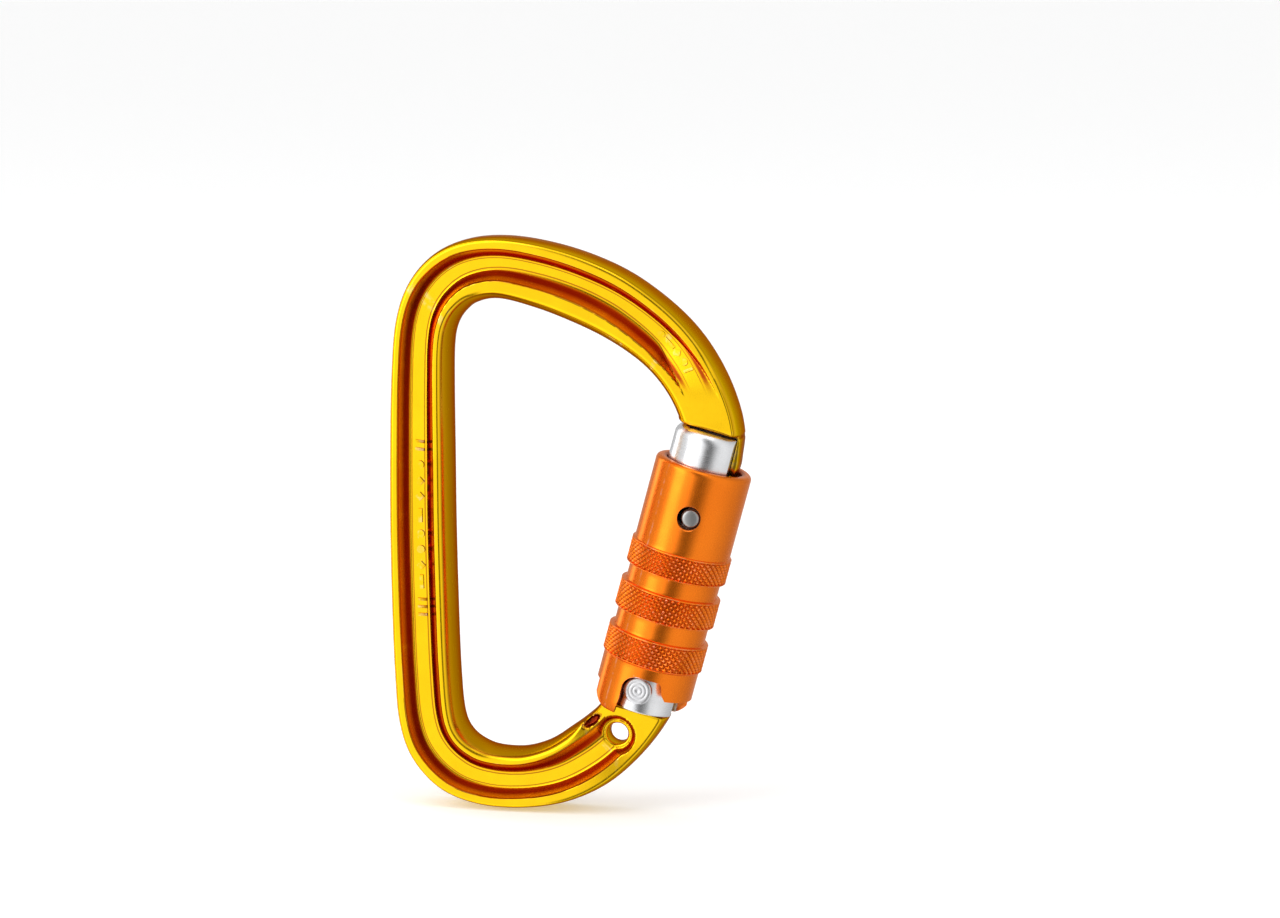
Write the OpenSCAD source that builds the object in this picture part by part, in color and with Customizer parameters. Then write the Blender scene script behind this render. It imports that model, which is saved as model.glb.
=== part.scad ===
// Locking carabiner: D-shaped forged body with an I-section rim-and-web,
// hinged gate, and an auto-locking knurled sleeve that lifts and turns.
// The origin is the load point, at the top of the inside of the upper bend.
// +Z runs up the spine, +X points from the spine to the gate, Y is the thickness.

/* [Body] */
// Half thickness of the rims along the spine and the bends
rim_half = 4.8; // [4.4:0.1:5.2]
// Half thickness of the rims at the hinge end
hinge_half = 4.05; // [3.6:0.05:4.1]
// Half thickness of the web between the rims
web_half = 2.1; // [1.6:0.1:2.8]
// Subdivisions between two guide stations of the body
body_steps = 3; // [2:1:4]

/* [Hinge and nose] */
// X of the hinge axis
hinge_x = 27; // [26.5:0.1:27.5]
// Z of the hinge axis
hinge_z = -69; // [-69.5:0.1:-68.5]
// Lean of the gate from the spine direction, in degrees
gate_lean = 15; // [14:0.5:16]
// Distance from the hinge axis to the nose face, along the gate
nose_u = 48.2; // [48:0.1:48.6]
// Radius of the rivet bore in the tang
tang_bore_r = 2.35; // [2.33:0.01:2.4]
// Half thickness of the tang
tang_half = 2.2; // [1.8:0.1:2.4]

/* [Gate] */
// Radius of the gate barrel
gate_r = 6.65; // [6.5:0.05:6.7]
// Top of the gate, from the hinge axis
gate_top = 47.7; // [47:0.1:47.7]
// Radius of the hinge rivet
rivet_r = 2.3; // [2.1:0.05:2.3]

/* [Sleeve] */
// Radius of the smooth upper part of the sleeve
sleeve_r = 8.7; // [8.4:0.1:8.8]
// Radius of the grip bands
band_r = 9.1; // [8.9:0.1:9.3]
// Radius of the grooves between the bands
groove_r = 8.3; // [8.1:0.1:8.5]
// Upper rim of the sleeve, from the hinge axis
sleeve_top = 41.6; // [41:0.1:41.8]
// Radius of the upper bore
sleeve_bore_r = 6.8; // [6.75:0.05:6.85]
// Radius of the lower bore, which clears the rivet ends
chamber_r = 7.15; // [7.1:0.05:7.3]

/* [Cord hole] */
// X of the cord hole
cord_x = 22.3; // [22:0.1:23]
// Z of the cord hole
cord_z = -77.9; // [-78:0.1:-77]
// Diameter of the cord hole
cord_d = 3.8; // [3:0.1:4]
// Radius of the recess round the cord hole
recess_r = 3.6; // [3:0.1:3.8]

/* [Hidden] */
gold = "goldenrod";
orange = "darkorange";
silver = "silver";

// ---- body: guide stations round the D, from the nose to the hinge ----
// each row: outer x, outer z, inner x, inner z, half thickness, depth of the recess (0 to 1)
guide = [
    [45.6, -31.0, 35.6, -29.5, 4.5, 0],
    [44.9, -25.1, 34.4, -24.0, 4.5, 0],
    [43.9, -19.2, 32.9, -19.3, 4.6, 0],
    [41.5, -12.8, 30.8, -15.5, 4.7, 0.1],
    [37.3,  -6.2, 27.9, -12.1, 4.8, 0.65],
    [32.2,  -0.9, 24.2,  -9.2, 4.8, 1],
    [25.2,   4.2, 19.4,  -6.4, 4.8, 1],
    [18.0,   7.6, 14.0,  -4.0, 4.8, 1],
    [ 9.8,  10.0,  7.6,  -1.7, 4.8, 1],
    [ 1.5,  11.1,  0.8,  -0.1, 4.8, 1],
    [-5.6,  10.4, -3.6,  -0.8, 4.8, 1],
    [-11.4,  7.6, -6.2,  -2.8, 4.8, 1],
    [-15.7,  2.6, -7.7,  -5.4, 4.8, 1],
    [-18.1, -4.2, -8.3,  -9.0, 4.8, 1],
    [-19.0, -14.0, -8.4, -16.0, 4.8, 1],
    [-19.4, -28.0, -8.3, -29.0, 4.8, 1],
    [-19.5, -42.0, -8.2, -42.0, 4.8, 1],
    [-19.3, -56.0, -7.9, -56.0, 4.8, 1],
    [-18.9, -68.0, -7.5, -67.5, 4.8, 1],
    [-18.1, -77.4, -6.8, -75.4, 4.8, 1],
    [-15.6, -84.2, -5.3, -78.9, 4.8, 1],
    [-10.4, -89.5, -2.4, -80.9, 4.8, 1],
    [-3.4, -92.0,  0.9, -81.6, 4.8, 1],
    [ 5.0, -92.3,  5.2, -81.4, 4.8, 1],
    [13.2, -90.8,  9.7, -79.8, 4.7, 1],
    [20.4, -87.3, 13.9, -77.3, 4.5, 1],
    [26.3, -82.0, 16.6, -74.9, 4.05, 0.85],
    [30.9, -75.8, 19.0, -72.6, 4.05, 0],
    [33.4, -70.0, 21.6, -68.6, 4.05, 0]
];
// half section: place across the width, share of the half thickness, share of the recess
section = [
    [0, 0, 0], [0.006, 0.5, 0], [0.045, 0.9, 0], [0.1, 1, 0], [0.155, 0.98, 0],
    [0.24, 0.98, 0.55], [0.33, 0.98, 0.94], [0.38, 0.98, 1], [0.55, 0.98, 1],
    [0.605, 0.98, 0.94], [0.69, 0.98, 0.55], [0.775, 0.98, 0], [0.83, 1, 0],
    [0.9, 0.88, 0], [0.97, 0.5, 0], [1, 0, 0]
];
ns = len(section);
function blend4(a, b, c, d, t) = 0.5 * (2*b + (c - a)*t + (2*a - 5*b + 4*c - d)*t*t + (3*b - a - 3*c + d)*t*t*t);
function at(i) = guide[max(0, min(len(guide) - 1, i))];
stations = [for (i = [1 : len(guide) - 3]) for (j = [0 : body_steps - 1]) blend4(at(i - 1), at(i), at(i + 1), at(i + 2), j / body_steps),
            at(len(guide) - 2), at(len(guide) - 1)];
rings = concat([at(0)], stations);
function half_y(s, p) = s[4] * p[1] - s[5] * p[2] * (s[4] * p[1] - web_half);
function spot(s, p, side) = [s[0] + (s[2] - s[0]) * p[0], side * half_y(s, p), s[1] + (s[3] - s[1]) * p[0]];
// one closed ring: front side from outer to inner, then the back side from inner to outer
function ring(s) = concat([for (k = [0 : ns - 1]) spot(s, section[k], -1)], [for (k = [ns - 2 : -1 : 1]) spot(s, section[k], 1)]);
nr = 2 * ns - 2;

module swept_body() {
    n = len(rings);
    pts = [for (s = rings) each ring(s)];
    sides = [for (i = [0 : n - 2]) for (k = [0 : nr - 1]) let (a = i*nr + k, b = i*nr + (k + 1) % nr)
        each [[a, b, b + nr], [a, b + nr, a + nr]]];
    // the ends are closed by strips across the section, from front to back
    function cap(o, flip) = [for (k = [0 : ns - 2]) let (a = o + k, b = o + k + 1, c = o + (nr - k - 1) % nr, d = o + (nr - k) % nr)
        each (k == 0 ? [flip ? [a, c, b] : [a, b, c]]
            : k == ns - 2 ? [flip ? [a, d, b] : [a, b, d]]
            : [flip ? [a, d, b] : [a, b, d], flip ? [b, d, c] : [b, c, d]])];
    polyhedron(points = pts, faces = concat(sides, cap(0, false), cap((n - 1)*nr, true)), convexity = 8);
}

// gate coordinates: x across the gate, z along it from the hinge axis
module at_gate() { translate([hinge_x, 0, hinge_z]) rotate([0, gate_lean, 0]) children(); }
module across(r, l, fn = 48) { rotate([90, 0, 0]) cylinder(r = r, h = l, center = true, $fn = fn); }

module frame() {
    color(gold)
    difference() {
        union() {
            difference() {
                swept_body();
                // the body stops at the nose face and at the shoulder under the gate
                at_gate() translate([-20, -10, 25]) cube([40, 20, nose_u - 25]);
                at_gate() translate([-15, -10, -4.3]) cube([30, 20, 28.7]);
            }
            // tang that the gate turns on
            at_gate() rotate([90, 0, 0]) linear_extrude(2 * tang_half, center = true)
                polygon([[-5.2, -5.4], [-4.6, -1], [-3.2, 3.6], [2.6, 3.6], [4.6, 2], [5.6, -1], [5.6, -5.4]]);
            // lip that covers the outer side of the gate top
            at_gate() rotate([90, 0, 0]) linear_extrude(4.8, center = true)
                polygon([[5.02, 42.4], [5.8, 42.4], [5.98, 43.2], [5.45, 48], [5.1, 50.4], [4.4, 50.4], [4.4, 48.3], [5.02, 47.9]]);
        }
        at_gate() across(tang_bore_r, 12);
        // cord hole, with a round recess on both faces that ends the web's channel
        translate([cord_x, 0, cord_z]) across(cord_d / 2, 14);
        for (side = [-1, 1]) translate([cord_x, side * (web_half + 4), cord_z]) across(recess_r, 8);
    }
}

module gate() {
    color(silver)
    at_gate() difference() {
        // barrel with a waist that holds the sleeve's return spring
        rotate_extrude($fn = 96) polygon([[0, -3.95], [6.35, -3.95], [gate_r, -3.65], [gate_r, 7.2], [5.5, 7.2], [5.5, 29.5],
            [gate_r, 29.5], [gate_r, gate_top - 1.1], [gate_r - 0.35, gate_top - 0.35], [gate_r - 1.1, gate_top], [0, gate_top]]);
        // lower corner that clears the body as the gate opens
        rotate([90, 0, 0]) linear_extrude(20, center = true) polygon([[-1.1, -3.95], [-9, -0.27], [-9, -8], [-1.1, -8]]);
        // slot for the tang
        translate([-9, -2.35, -6]) cube([18, 4.7, 11.2]);
        // bores of the spring and plunger, and of the rivet
        translate([0, 0, 5]) cylinder(r = 2.25, h = 16, $fn = 48);
        across(rivet_r, 20);
        // flat that the lip of the nose lies on
        translate([4.9, -8, 36.8]) cube([4, 16, 14]);
        // window that the guide pin travels in
        rotate([0, 0, 170]) rotate_extrude(angle = 128, $fn = 96) polygon([[4.9, 31.1], [8, 31.1], [8, 39], [4.9, 39]]);
    }
}

module hinge_rivet() {
    color(silver)
    at_gate() rotate([90, 0, 0]) rotate_extrude($fn = 64)
        polygon([[0, -6.6], [rivet_r - 0.25, -6.6], [rivet_r, -6.35], [rivet_r, 6.35], [rivet_r - 0.25, 6.6], [0, 6.6]]);
}

module gate_plunger() {
    color(silver)
    at_gate() rotate_extrude($fn = 48)
        polygon([[0, 3.64], [1.7, 3.64], [2.18, 4.1], [2.18, 7.6], [1.1, 7.6], [1.1, 11], [0, 11]]);
}

// wire of radius w wound at radius r from z0 to z1, with closed flat-cut ends
module coil(r, w, z0, z1, turns, per_turn, sides) {
    n = turns * per_turn;
    rise = atan((z1 - z0) / turns / (2 * PI * r));
    function at_wire(i, k) = let (a = 360 * i / per_turn, b = 360 * k / sides)
        [(r + w * cos(b)) * cos(a) + w * sin(b) * sin(rise) * sin(a),
         (r + w * cos(b)) * sin(a) - w * sin(b) * sin(rise) * cos(a),
         z0 + (z1 - z0) * i / n + w * sin(b) * cos(rise)];
    pts = [for (i = [0 : n]) for (k = [0 : sides - 1]) at_wire(i, k)];
    faces = concat(
        [[for (k = [0 : sides - 1]) k]],
        [for (i = [0 : n - 1]) for (k = [0 : sides - 1]) let (a = i*sides + k, b = i*sides + (k + 1) % sides)
            each [[a, a + sides, b + sides], [a, b + sides, b]]],
        [[for (k = [sides - 1 : -1 : 0]) n*sides + k]]);
    polyhedron(points = pts, faces = faces, convexity = 10);
}

module gate_spring() {
    color(silver) at_gate() coil(1.65, 0.28, 7.95, 20.6, 8, 10, 6);
}

module sleeve_spring() {
    color(silver) at_gate() coil(6.33, 0.45, 8.85, 29, 6, 20, 6);
}

module sleeve() {
    color(orange)
    at_gate() difference() {
        rotate_extrude($fn = 120) polygon([
            [chamber_r, -4.8], [8.2, -4.8], [sleeve_r - 0.1, -4.1], [sleeve_r, -3.2], [sleeve_r, 4.6],
            [band_r - 0.15, 5], [band_r, 5.3], [band_r, 9.5], [band_r - 0.15, 9.8], [groove_r, 10.1],
            [groove_r, 13.1], [band_r - 0.15, 13.4], [band_r, 13.7], [band_r, 18], [band_r - 0.15, 18.3], [groove_r, 18.6],
            [groove_r, 21.3], [band_r - 0.15, 21.6], [band_r, 21.9], [band_r, 25.7], [band_r - 0.15, 26], [sleeve_r, 26.2],
            [sleeve_r, sleeve_top - 0.9], [sleeve_r - 0.3, sleeve_top - 0.25], [sleeve_r - 0.9, sleeve_top],
            [sleeve_bore_r + 0.25, sleeve_top], [sleeve_bore_r, sleeve_top - 0.25], [sleeve_bore_r, 31], [chamber_r, 30.6]]);
        // lower edge: two lobes are left beside the arches over the rivet ends
        for (side = [0, 180]) rotate([0, 0, side]) {
            rotate([0, 0, -56]) rotate_extrude(angle = 92, $fn = 120) polygon([[6, -6], [10, -6], [10, -0.4], [6, -0.4]]);
            rotate([0, 0, -104]) rotate_extrude(angle = 49, $fn = 120) polygon([[6, -6], [10, -6], [10, 0.4], [6, 0.4]]);
            translate([0.1, -7.9, 0]) rotate([90, 0, 0]) cylinder(r = 2.95, h = 4, center = true, $fn = 48);
        }
        // hole of the guide pin
        rotate([0, 0, 277.5]) translate([7.5, 0, 33]) rotate([0, 90, 0]) cylinder(r = 2.1, h = 4, center = true, $fn = 48);
        // passage for the lip of the nose, faced away from it while locked
        translate([-3, 4, 36]) cube([6, 6, 8]);
    }
}

module sleeve_bush() {
    color(silver)
    at_gate() rotate_extrude($fn = 96) polygon([[6.75, 3.2], [7.15, 3.2], [7.15, 7.3], [6.75, 7.3]]);
}

module spring_seat() {
    color(silver)
    at_gate() rotate_extrude($fn = 96) polygon([[5.6, 7.4], [7.05, 7.4], [7.05, 8.3], [5.6, 8.3]]);
}

module guide_pin() {
    color("gray")
    at_gate() rotate([0, 0, 277.5]) translate([0, 0, 33]) rotate([0, 90, 0]) rotate_extrude($fn = 48)
        polygon([[0, 5.2], [1.6, 5.2], [1.6, 7], [2.1, 7], [2.1, 7.6], [1.6, 7.6], [1.6, 8], [1.35, 8.25], [0, 8.25]]);
}

frame();
gate();
hinge_rivet();
gate_plunger();
gate_spring();
sleeve();
sleeve_bush();
spring_seat();
sleeve_spring();
guide_pin();
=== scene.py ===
import bpy
import math
import numpy as np
from mathutils import Vector, Matrix


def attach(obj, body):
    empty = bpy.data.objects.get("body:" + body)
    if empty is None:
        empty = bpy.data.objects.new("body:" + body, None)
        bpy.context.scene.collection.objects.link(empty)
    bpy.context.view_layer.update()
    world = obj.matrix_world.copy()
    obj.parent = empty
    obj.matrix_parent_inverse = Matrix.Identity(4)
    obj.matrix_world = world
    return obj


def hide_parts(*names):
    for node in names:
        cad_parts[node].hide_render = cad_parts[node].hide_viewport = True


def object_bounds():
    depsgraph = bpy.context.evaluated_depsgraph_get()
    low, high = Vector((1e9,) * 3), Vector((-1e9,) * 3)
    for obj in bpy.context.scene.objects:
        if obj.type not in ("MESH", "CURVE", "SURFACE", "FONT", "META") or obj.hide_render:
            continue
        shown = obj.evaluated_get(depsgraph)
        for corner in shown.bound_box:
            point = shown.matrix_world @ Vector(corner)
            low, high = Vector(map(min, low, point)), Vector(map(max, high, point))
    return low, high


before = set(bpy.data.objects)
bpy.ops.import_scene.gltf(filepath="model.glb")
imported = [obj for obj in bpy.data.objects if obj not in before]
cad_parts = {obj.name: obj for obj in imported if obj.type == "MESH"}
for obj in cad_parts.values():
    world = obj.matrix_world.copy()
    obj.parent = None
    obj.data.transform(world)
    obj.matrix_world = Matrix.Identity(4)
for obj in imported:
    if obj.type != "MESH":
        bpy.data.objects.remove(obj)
cad_lo, cad_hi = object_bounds()
MM = 0.001

# ------------------------------------------------------------------ frames
HX, HZ, LEAN = 27.0, -69.0, math.radians(15)
CL, SL = math.cos(LEAN), math.sin(LEAN)


def gate_to_part(p):
    """gate coordinates (v, Y, u) in mm to the part's frame in mm"""
    p = np.asarray(p, float)
    return np.stack([HX + p[..., 0] * CL + p[..., 2] * SL, p[..., 1], HZ - p[..., 0] * SL + p[..., 2] * CL], -1)


def along(x, z):
    return (x - HX) * SL + (z - HZ) * CL


# ------------------------------------------------------------------ mesh helpers
def make(name, verts, faces, collection=True):
    me = bpy.data.meshes.new(name)
    me.from_pydata([tuple(v) for v in (np.asarray(verts, float) * MM)], [], [tuple(int(i) for i in f) for f in faces])
    me.validate()
    ob = bpy.data.objects.new(name, me)
    bpy.context.scene.collection.objects.link(ob)
    return ob


def grid_faces(rows, cols, close_rows=False, close_cols=True, start=0):
    out = []
    rr = rows if close_rows else rows - 1
    cc = cols if close_cols else cols - 1
    for i in range(rr):
        a, b = i * cols, ((i + 1) % rows) * cols
        for k in range(cc):
            k2 = (k + 1) % cols
            out.append((start + a + k, start + a + k2, start + b + k2, start + b + k))
    return out


def fix_normals(ob):
    import bmesh
    bm = bmesh.new()
    bm.from_mesh(ob.data)
    bmesh.ops.recalc_face_normals(bm, faces=bm.faces)
    if bm.calc_volume(signed=True) < 0:
        bmesh.ops.reverse_faces(bm, faces=bm.faces)
    bm.to_mesh(ob.data)
    bm.free()
    return ob


def lathe(name, prof, n, ring=False, place=None):
    """prof: (r, z) points in mm. An open one runs from axis to axis, a ring one is a closed loop."""
    th = np.arange(n) * 2 * math.pi / n
    verts, faces = [], []
    if ring:
        for r, z in prof:
            verts += [(r * math.cos(a), r * math.sin(a), z) for a in th]
        faces = grid_faces(len(prof), n, close_rows=True)
    else:
        inner = prof[1:-1]
        for r, z in inner:
            verts += [(r * math.cos(a), r * math.sin(a), z) for a in th]
        faces = grid_faces(len(inner), n)
        c0, c1 = len(verts), len(verts) + 1
        verts += [(0, 0, prof[0][1]), (0, 0, prof[-1][1])]
        last = (len(inner) - 1) * n
        faces += [(c0, (k + 1) % n, k) for k in range(n)]
        faces += [(c1, last + k, last + (k + 1) % n) for k in range(n)]
    v = np.array(verts, float)
    if place is not None:
        v = place(v)
    return fix_normals(make(name, v, faces))


def prism(name, poly, y0, y1, place=None, axis="y"):
    """a closed prism: poly is in (a, b), extruded along the third axis from y0 to y1"""
    n = len(poly)
    def pt(a, b, c):
        return (a, c, b) if axis == "y" else (a, b, c)
    v = np.array([pt(a, b, y0) for a, b in poly] + [pt(a, b, y1) for a, b in poly], float)
    faces = [tuple(range(n)), tuple(range(2 * n - 1, n - 1, -1))] + [(k, (k + 1) % n, n + (k + 1) % n, n + k) for k in range(n)]
    if place is not None:
        v = place(v)
    return fix_normals(make(name, v, faces))


def tube(name, r, y0, y1, n=64, centre=(0, 0), place=None, axis="y"):
    return prism(name, [(centre[0] + r * math.cos(2 * math.pi * k / n), centre[1] + r * math.sin(2 * math.pi * k / n)) for k in range(n)], y0, y1, place, axis)


def boolean(ob, op, *tools):
    for t in tools:
        m = ob.modifiers.new("b", "BOOLEAN")
        m.operation = op
        m.solver = "MANIFOLD"
        m.object = t
    bpy.context.view_layer.update()
    dg = bpy.context.evaluated_depsgraph_get()
    me = bpy.data.meshes.new_from_object(ob.evaluated_get(dg))
    ob.modifiers.clear()
    old = ob.data
    ob.data = me
    bpy.data.meshes.remove(old)
    for t in tools:
        d = t.data
        bpy.data.objects.remove(t)
        bpy.data.meshes.remove(d)
    return ob


def smooth(ob, angle=32):
    me = ob.data
    me.polygons.foreach_set("use_smooth", np.ones(len(me.polygons), bool))
    me.set_sharp_from_angle(angle=math.radians(angle))
    me.update()
    return ob


def smoothstep(x):
    x = np.clip(x, 0, 1)
    return x * x * (3 - 2 * x)


def smin(a, b, k):
    h = np.clip(0.5 + 0.5 * (b - a) / k, 0, 1)
    return b + (a - b) * h - k * h * (1 - h)


# ------------------------------------------------------------------ the body
GUIDE = np.array([
    [45.6, -31.0, 35.6, -29.5, 4.5], [45.05, -25.1, 34.4, -24.0, 4.5], [44.05, -19.2, 32.9, -19.3, 4.6],
    [41.5, -12.8, 30.8, -15.5, 4.7], [37.3, -6.2, 27.9, -12.1, 4.8], [32.2, -0.9, 24.2, -9.2, 4.8],
    [25.2, 4.2, 19.4, -6.4, 4.8], [18.0, 7.6, 14.0, -4.0, 4.8], [9.8, 10.0, 7.6, -1.7, 4.8],
    [1.5, 11.1, 0.8, -0.1, 4.8], [-5.6, 10.4, -3.6, -0.8, 4.8], [-11.4, 7.6, -6.2, -2.8, 4.8],
    [-15.7, 2.6, -7.7, -5.4, 4.8], [-18.1, -4.2, -8.3, -9.0, 4.8], [-19.0, -14.0, -8.4, -16.0, 4.8],
    [-19.4, -28.0, -8.3, -29.0, 4.8], [-19.5, -42.0, -8.2, -42.0, 4.8], [-19.3, -56.0, -7.9, -56.0, 4.8],
    [-18.9, -68.0, -7.5, -67.5, 4.8], [-18.1, -77.4, -6.8, -75.4, 4.8], [-15.6, -84.2, -5.3, -78.9, 4.8],
    [-10.4, -89.5, -2.4, -80.9, 4.8], [-3.4, -92.0, 0.9, -81.6, 4.8], [5.0, -92.3, 5.2, -81.4, 4.8],
    [13.2, -90.8, 9.7, -79.8, 4.7], [20.4, -87.3, 13.75, -77.05, 4.5], [26.3, -82.0, 16.6, -74.9, 4.05],
    [30.9, -75.8, 19.0, -72.6, 4.05], [33.4, -70.0, 21.6, -68.6, 4.05]])
WEB = 2.1
NOSE_U, SHOULDER_U = 48.2, -4.3
CORD = (22.3, -77.9)


def guide(p):
    p = np.clip(p, 0, len(GUIDE) - 1.0001)
    i = np.floor(p).astype(int)
    f = (p - i)[..., None]
    n = len(GUIDE) - 1
    a, b, c, d = GUIDE[np.clip(i - 1, 0, n)], GUIDE[i], GUIDE[np.clip(i + 1, 0, n)], GUIDE[np.clip(i + 2, 0, n)]
    return 0.5 * (2 * b + (c - a) * f + (2 * a - 5 * b + 4 * c - d) * f * f + (3 * b - a - 3 * c + d) * f ** 3)


def place_xz(p, t):
    g = guide(p)
    return g[..., 0] + (g[..., 2] - g[..., 0]) * t, g[..., 1] + (g[..., 3] - g[..., 1]) * t


def wall(q, k=1.6):
    q = np.clip(q, 0, 1)
    return np.minimum(1.05 * (1 - (1 - q) ** k), 1.0)


def eased(d, e, full):
    """the same depth with its first part rounded over, so a crest is a bead and not an edge"""
    return (np.sqrt(d * d + e * e) - e) * full / (np.sqrt(full * full + e * e) - e)


def half_y(p, t, parts=False):
    """half thickness of the body at guide place p and place t across, with its recess; also how far down the groove wall it is"""
    g = guide(p)
    h = g[..., 4]
    w = np.hypot(g[..., 0] - g[..., 2], g[..., 1] - g[..., 3])
    do, di = t * w, (1 - t) * w
    near_nose = 1 - smoothstep((p - 2.0) / 2.0)
    ro, ri = 0.1 * w, (0.17 - 0.10 * smoothstep((p - 24.6) / 1.2)) * w
    side_o = np.maximum(1 - np.clip(1 - do / ro, 0, 1) ** 2.6, 0) ** (1 / 2.6)
    side_i = np.maximum(1 - np.clip(1 - di / ri, 0, 1) ** 1.9, 0) ** (1 / 1.9)
    # beside the nose the flat front face ends in a step and the rounded rim runs on as a band of its own
    band_o = (h - 0.42) * np.maximum(1 - np.clip(1 - do / 1.1, 0, 1) ** 2.2, 0) ** (1 / 2.2)
    face_o = band_o + (h - band_o) * smoothstep((t - 0.086) / 0.02)
    side_o = side_o + (face_o / h - side_o) * near_nose
    y = h * np.minimum(side_o, side_i)
    # edges of the recess: crest and floor, outer and inner
    co = np.interp(p, [2, 4, 7, 12, 17, 22, 25], [0.165, 0.183, 0.185, 0.163, 0.165, 0.18, 0.20])
    fo = np.interp(p, [4, 12, 17, 22, 25], [0.34, 0.345, 0.355, 0.36, 0.385])
    fi = np.interp(p, [3, 4, 5, 6, 7, 8.5, 11, 14], [0.555, 0.55, 0.51, 0.48, 0.465, 0.475, 0.53, 0.56])
    ci = np.interp(p, [3, 4, 5, 6, 7, 9, 12, 16, 23, 25, 26], [0.70, 0.745, 0.735, 0.715, 0.69, 0.70, 0.765, 0.775, 0.79, 0.805, 0.80])
    qo = (t - co) / (fo - co)
    qi = (ci - t) / (ci - fi)
    full = h - WEB
    x, z = place_xz(p, t)
    ahead = (x - CORD[0]) * 0.705 + (z - CORD[1]) * 0.709
    qe = np.where(p > 22, (1.2 - ahead) / 1.7, 9.0)
    q = np.minimum(np.minimum(qo, qi), qe)
    rise = smoothstep((p - 2.35 - 0.4 * (t - 0.15)) / 2.2) ** 0.8
    depth = np.where(q > 0, smin(full * wall(q), full * rise, 0.12), 0)
    depth = np.maximum(depth, 0)
    rr = np.hypot(x - CORD[0], z - CORD[1])
    qc = (3.75 - rr) / 1.25
    depth = np.maximum(depth, full * wall(qc, 1.5))
    # small pocket beside the cord recess, under the shoulder
    qp = np.where(p > 24, 1 - np.hypot((p - 26.12) / 0.62, (t - 0.885) * w / 0.9), -1)
    depth = np.maximum(depth, 1.05 * smoothstep(qp / 0.6))
    y2 = y - eased(depth, 0.22, full)
    if not parts:
        return y2
    down = np.maximum(np.maximum(q, qp), np.where(p > 22, qc, -1))
    return y2, down, depth, rise, qp


# places across the width
T = np.concatenate([
    [0, 0.0015, 0.004, 0.008, 0.014, 0.022, 0.032, 0.044, 0.058, 0.073, 0.088, 0.1, 0.113, 0.127, 0.14, 0.147],
    np.linspace(0.152, 0.40, 31), np.linspace(0.41, 0.44, 4), np.linspace(0.45, 0.80, 40),
    [0.806, 0.815, 0.828, 0.842, 0.852, 0.862, 0.874, 0.888, 0.903, 0.918, 0.933, 0.947, 0.96, 0.972, 0.982, 0.99, 0.996, 1.0]])
NT = len(T)

NOSE_R, SHOULDER_R = 0.7, 0.35


def crossing(level, lo, hi):
    """guide place where each line of constant t crosses the plane along == level"""
    ps = np.linspace(lo, hi, 400)
    out = []
    for t in T:
        x, z = place_xz(ps, np.full_like(ps, t))
        u = along(x, z) - level
        k = np.where(np.sign(u[:-1]) != np.sign(u[1:]))[0][0]
        f = u[k] / (u[k] - u[k + 1])
        out.append(ps[k] + f * (ps[k + 1] - ps[k]))
    return np.array(out)


p0 = crossing(NOSE_U + NOSE_R, 0.2, 3.0)
p1 = crossing(SHOULDER_U - SHOULDER_R, 25.5, 28.0)
pa, pb = p0.mean(), p1.mean()


def stations():
    out = [pa]
    while True:
        p = out[-1]
        g0, g1 = guide(np.array(p)), guide(np.array(min(p + 0.01, 28)))
        speed = 0.5 * (np.hypot(g1[0] - g0[0], g1[1] - g0[1]) + np.hypot(g1[2] - g0[2], g1[3] - g0[3])) / 0.01
        step = 0.3 if p < 6.0 else 0.24 if p > 23.6 else 0.65
        q = p + step / max(speed, 1.0)
        if q >= pb - 0.3 * step / speed:
            break
        out.append(q)
    out.append(pb)
    return np.array(out)


def build_body():
    P = stations()
    J = len(P)
    PP = P[:, None] + (p0 - pa)[None, :] * np.clip(1 - (P[:, None] - pa) / 2.2, 0, 1) ** 2 \
        + (p1 - pb)[None, :] * np.clip(1 - (pb - P[:, None]) / 1.6, 0, 1) ** 2
    TT = np.repeat(T[None, :], J, 0)
    X, Z = place_xz(PP, TT)
    Y = half_y(PP, TT)
    Y[:, 0] = 0
    Y[:, -1] = 0
    rings = []
    for j in range(J):
        front = np.stack([X[j], -Y[j], Z[j]], -1)
        back = np.stack([X[j], Y[j], Z[j]], -1)[1:-1][::-1]
        rings.append(np.concatenate([front, back]))
    nr = len(rings[0])

    def rounded(ring, level, r, way):
        """extra rings that round the end over to its flat face"""
        v = (ring[:, 0] - HX) * CL - (ring[:, 2] - HZ) * SL
        y = ring[:, 1]
        vc, half = (v.max() + v.min()) / 2, (v.max() - v.min()) / 2
        out = []
        for a in (22, 45, 68, 90):
            s, c = math.sin(math.radians(a)), math.cos(math.radians(a))
            d = r * (1 - c)
            u = level + way * r * (1 - s)
            out.append(gate_to_part(np.stack([vc + (v - vc) * (1 - d / half), y * (1 - d / np.abs(y).max()), np.full_like(v, u)], -1)))
        return out

    nose = rounded(rings[0], NOSE_U, NOSE_R, 1)
    shoulder = rounded(rings[-1], SHOULDER_U, SHOULDER_R, -1)
    rings = nose[::-1] + rings + shoulder
    verts = np.concatenate(rings)
    R = len(rings)
    faces = grid_faces(R, nr)
    for o in (0, (R - 1) * nr):
        for k in range(NT - 1):
            a, b = o + k, o + k + 1
            c, d = o + (nr - k - 1) % nr, o + (nr - k) % nr
            if k == 0:
                faces.append((a, b, c))
            elif k == NT - 2:
                faces.append((a, b, d))
            else:
                faces.append((a, b, c, d))
    return fix_normals(make("body_frame", verts, faces))


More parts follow.
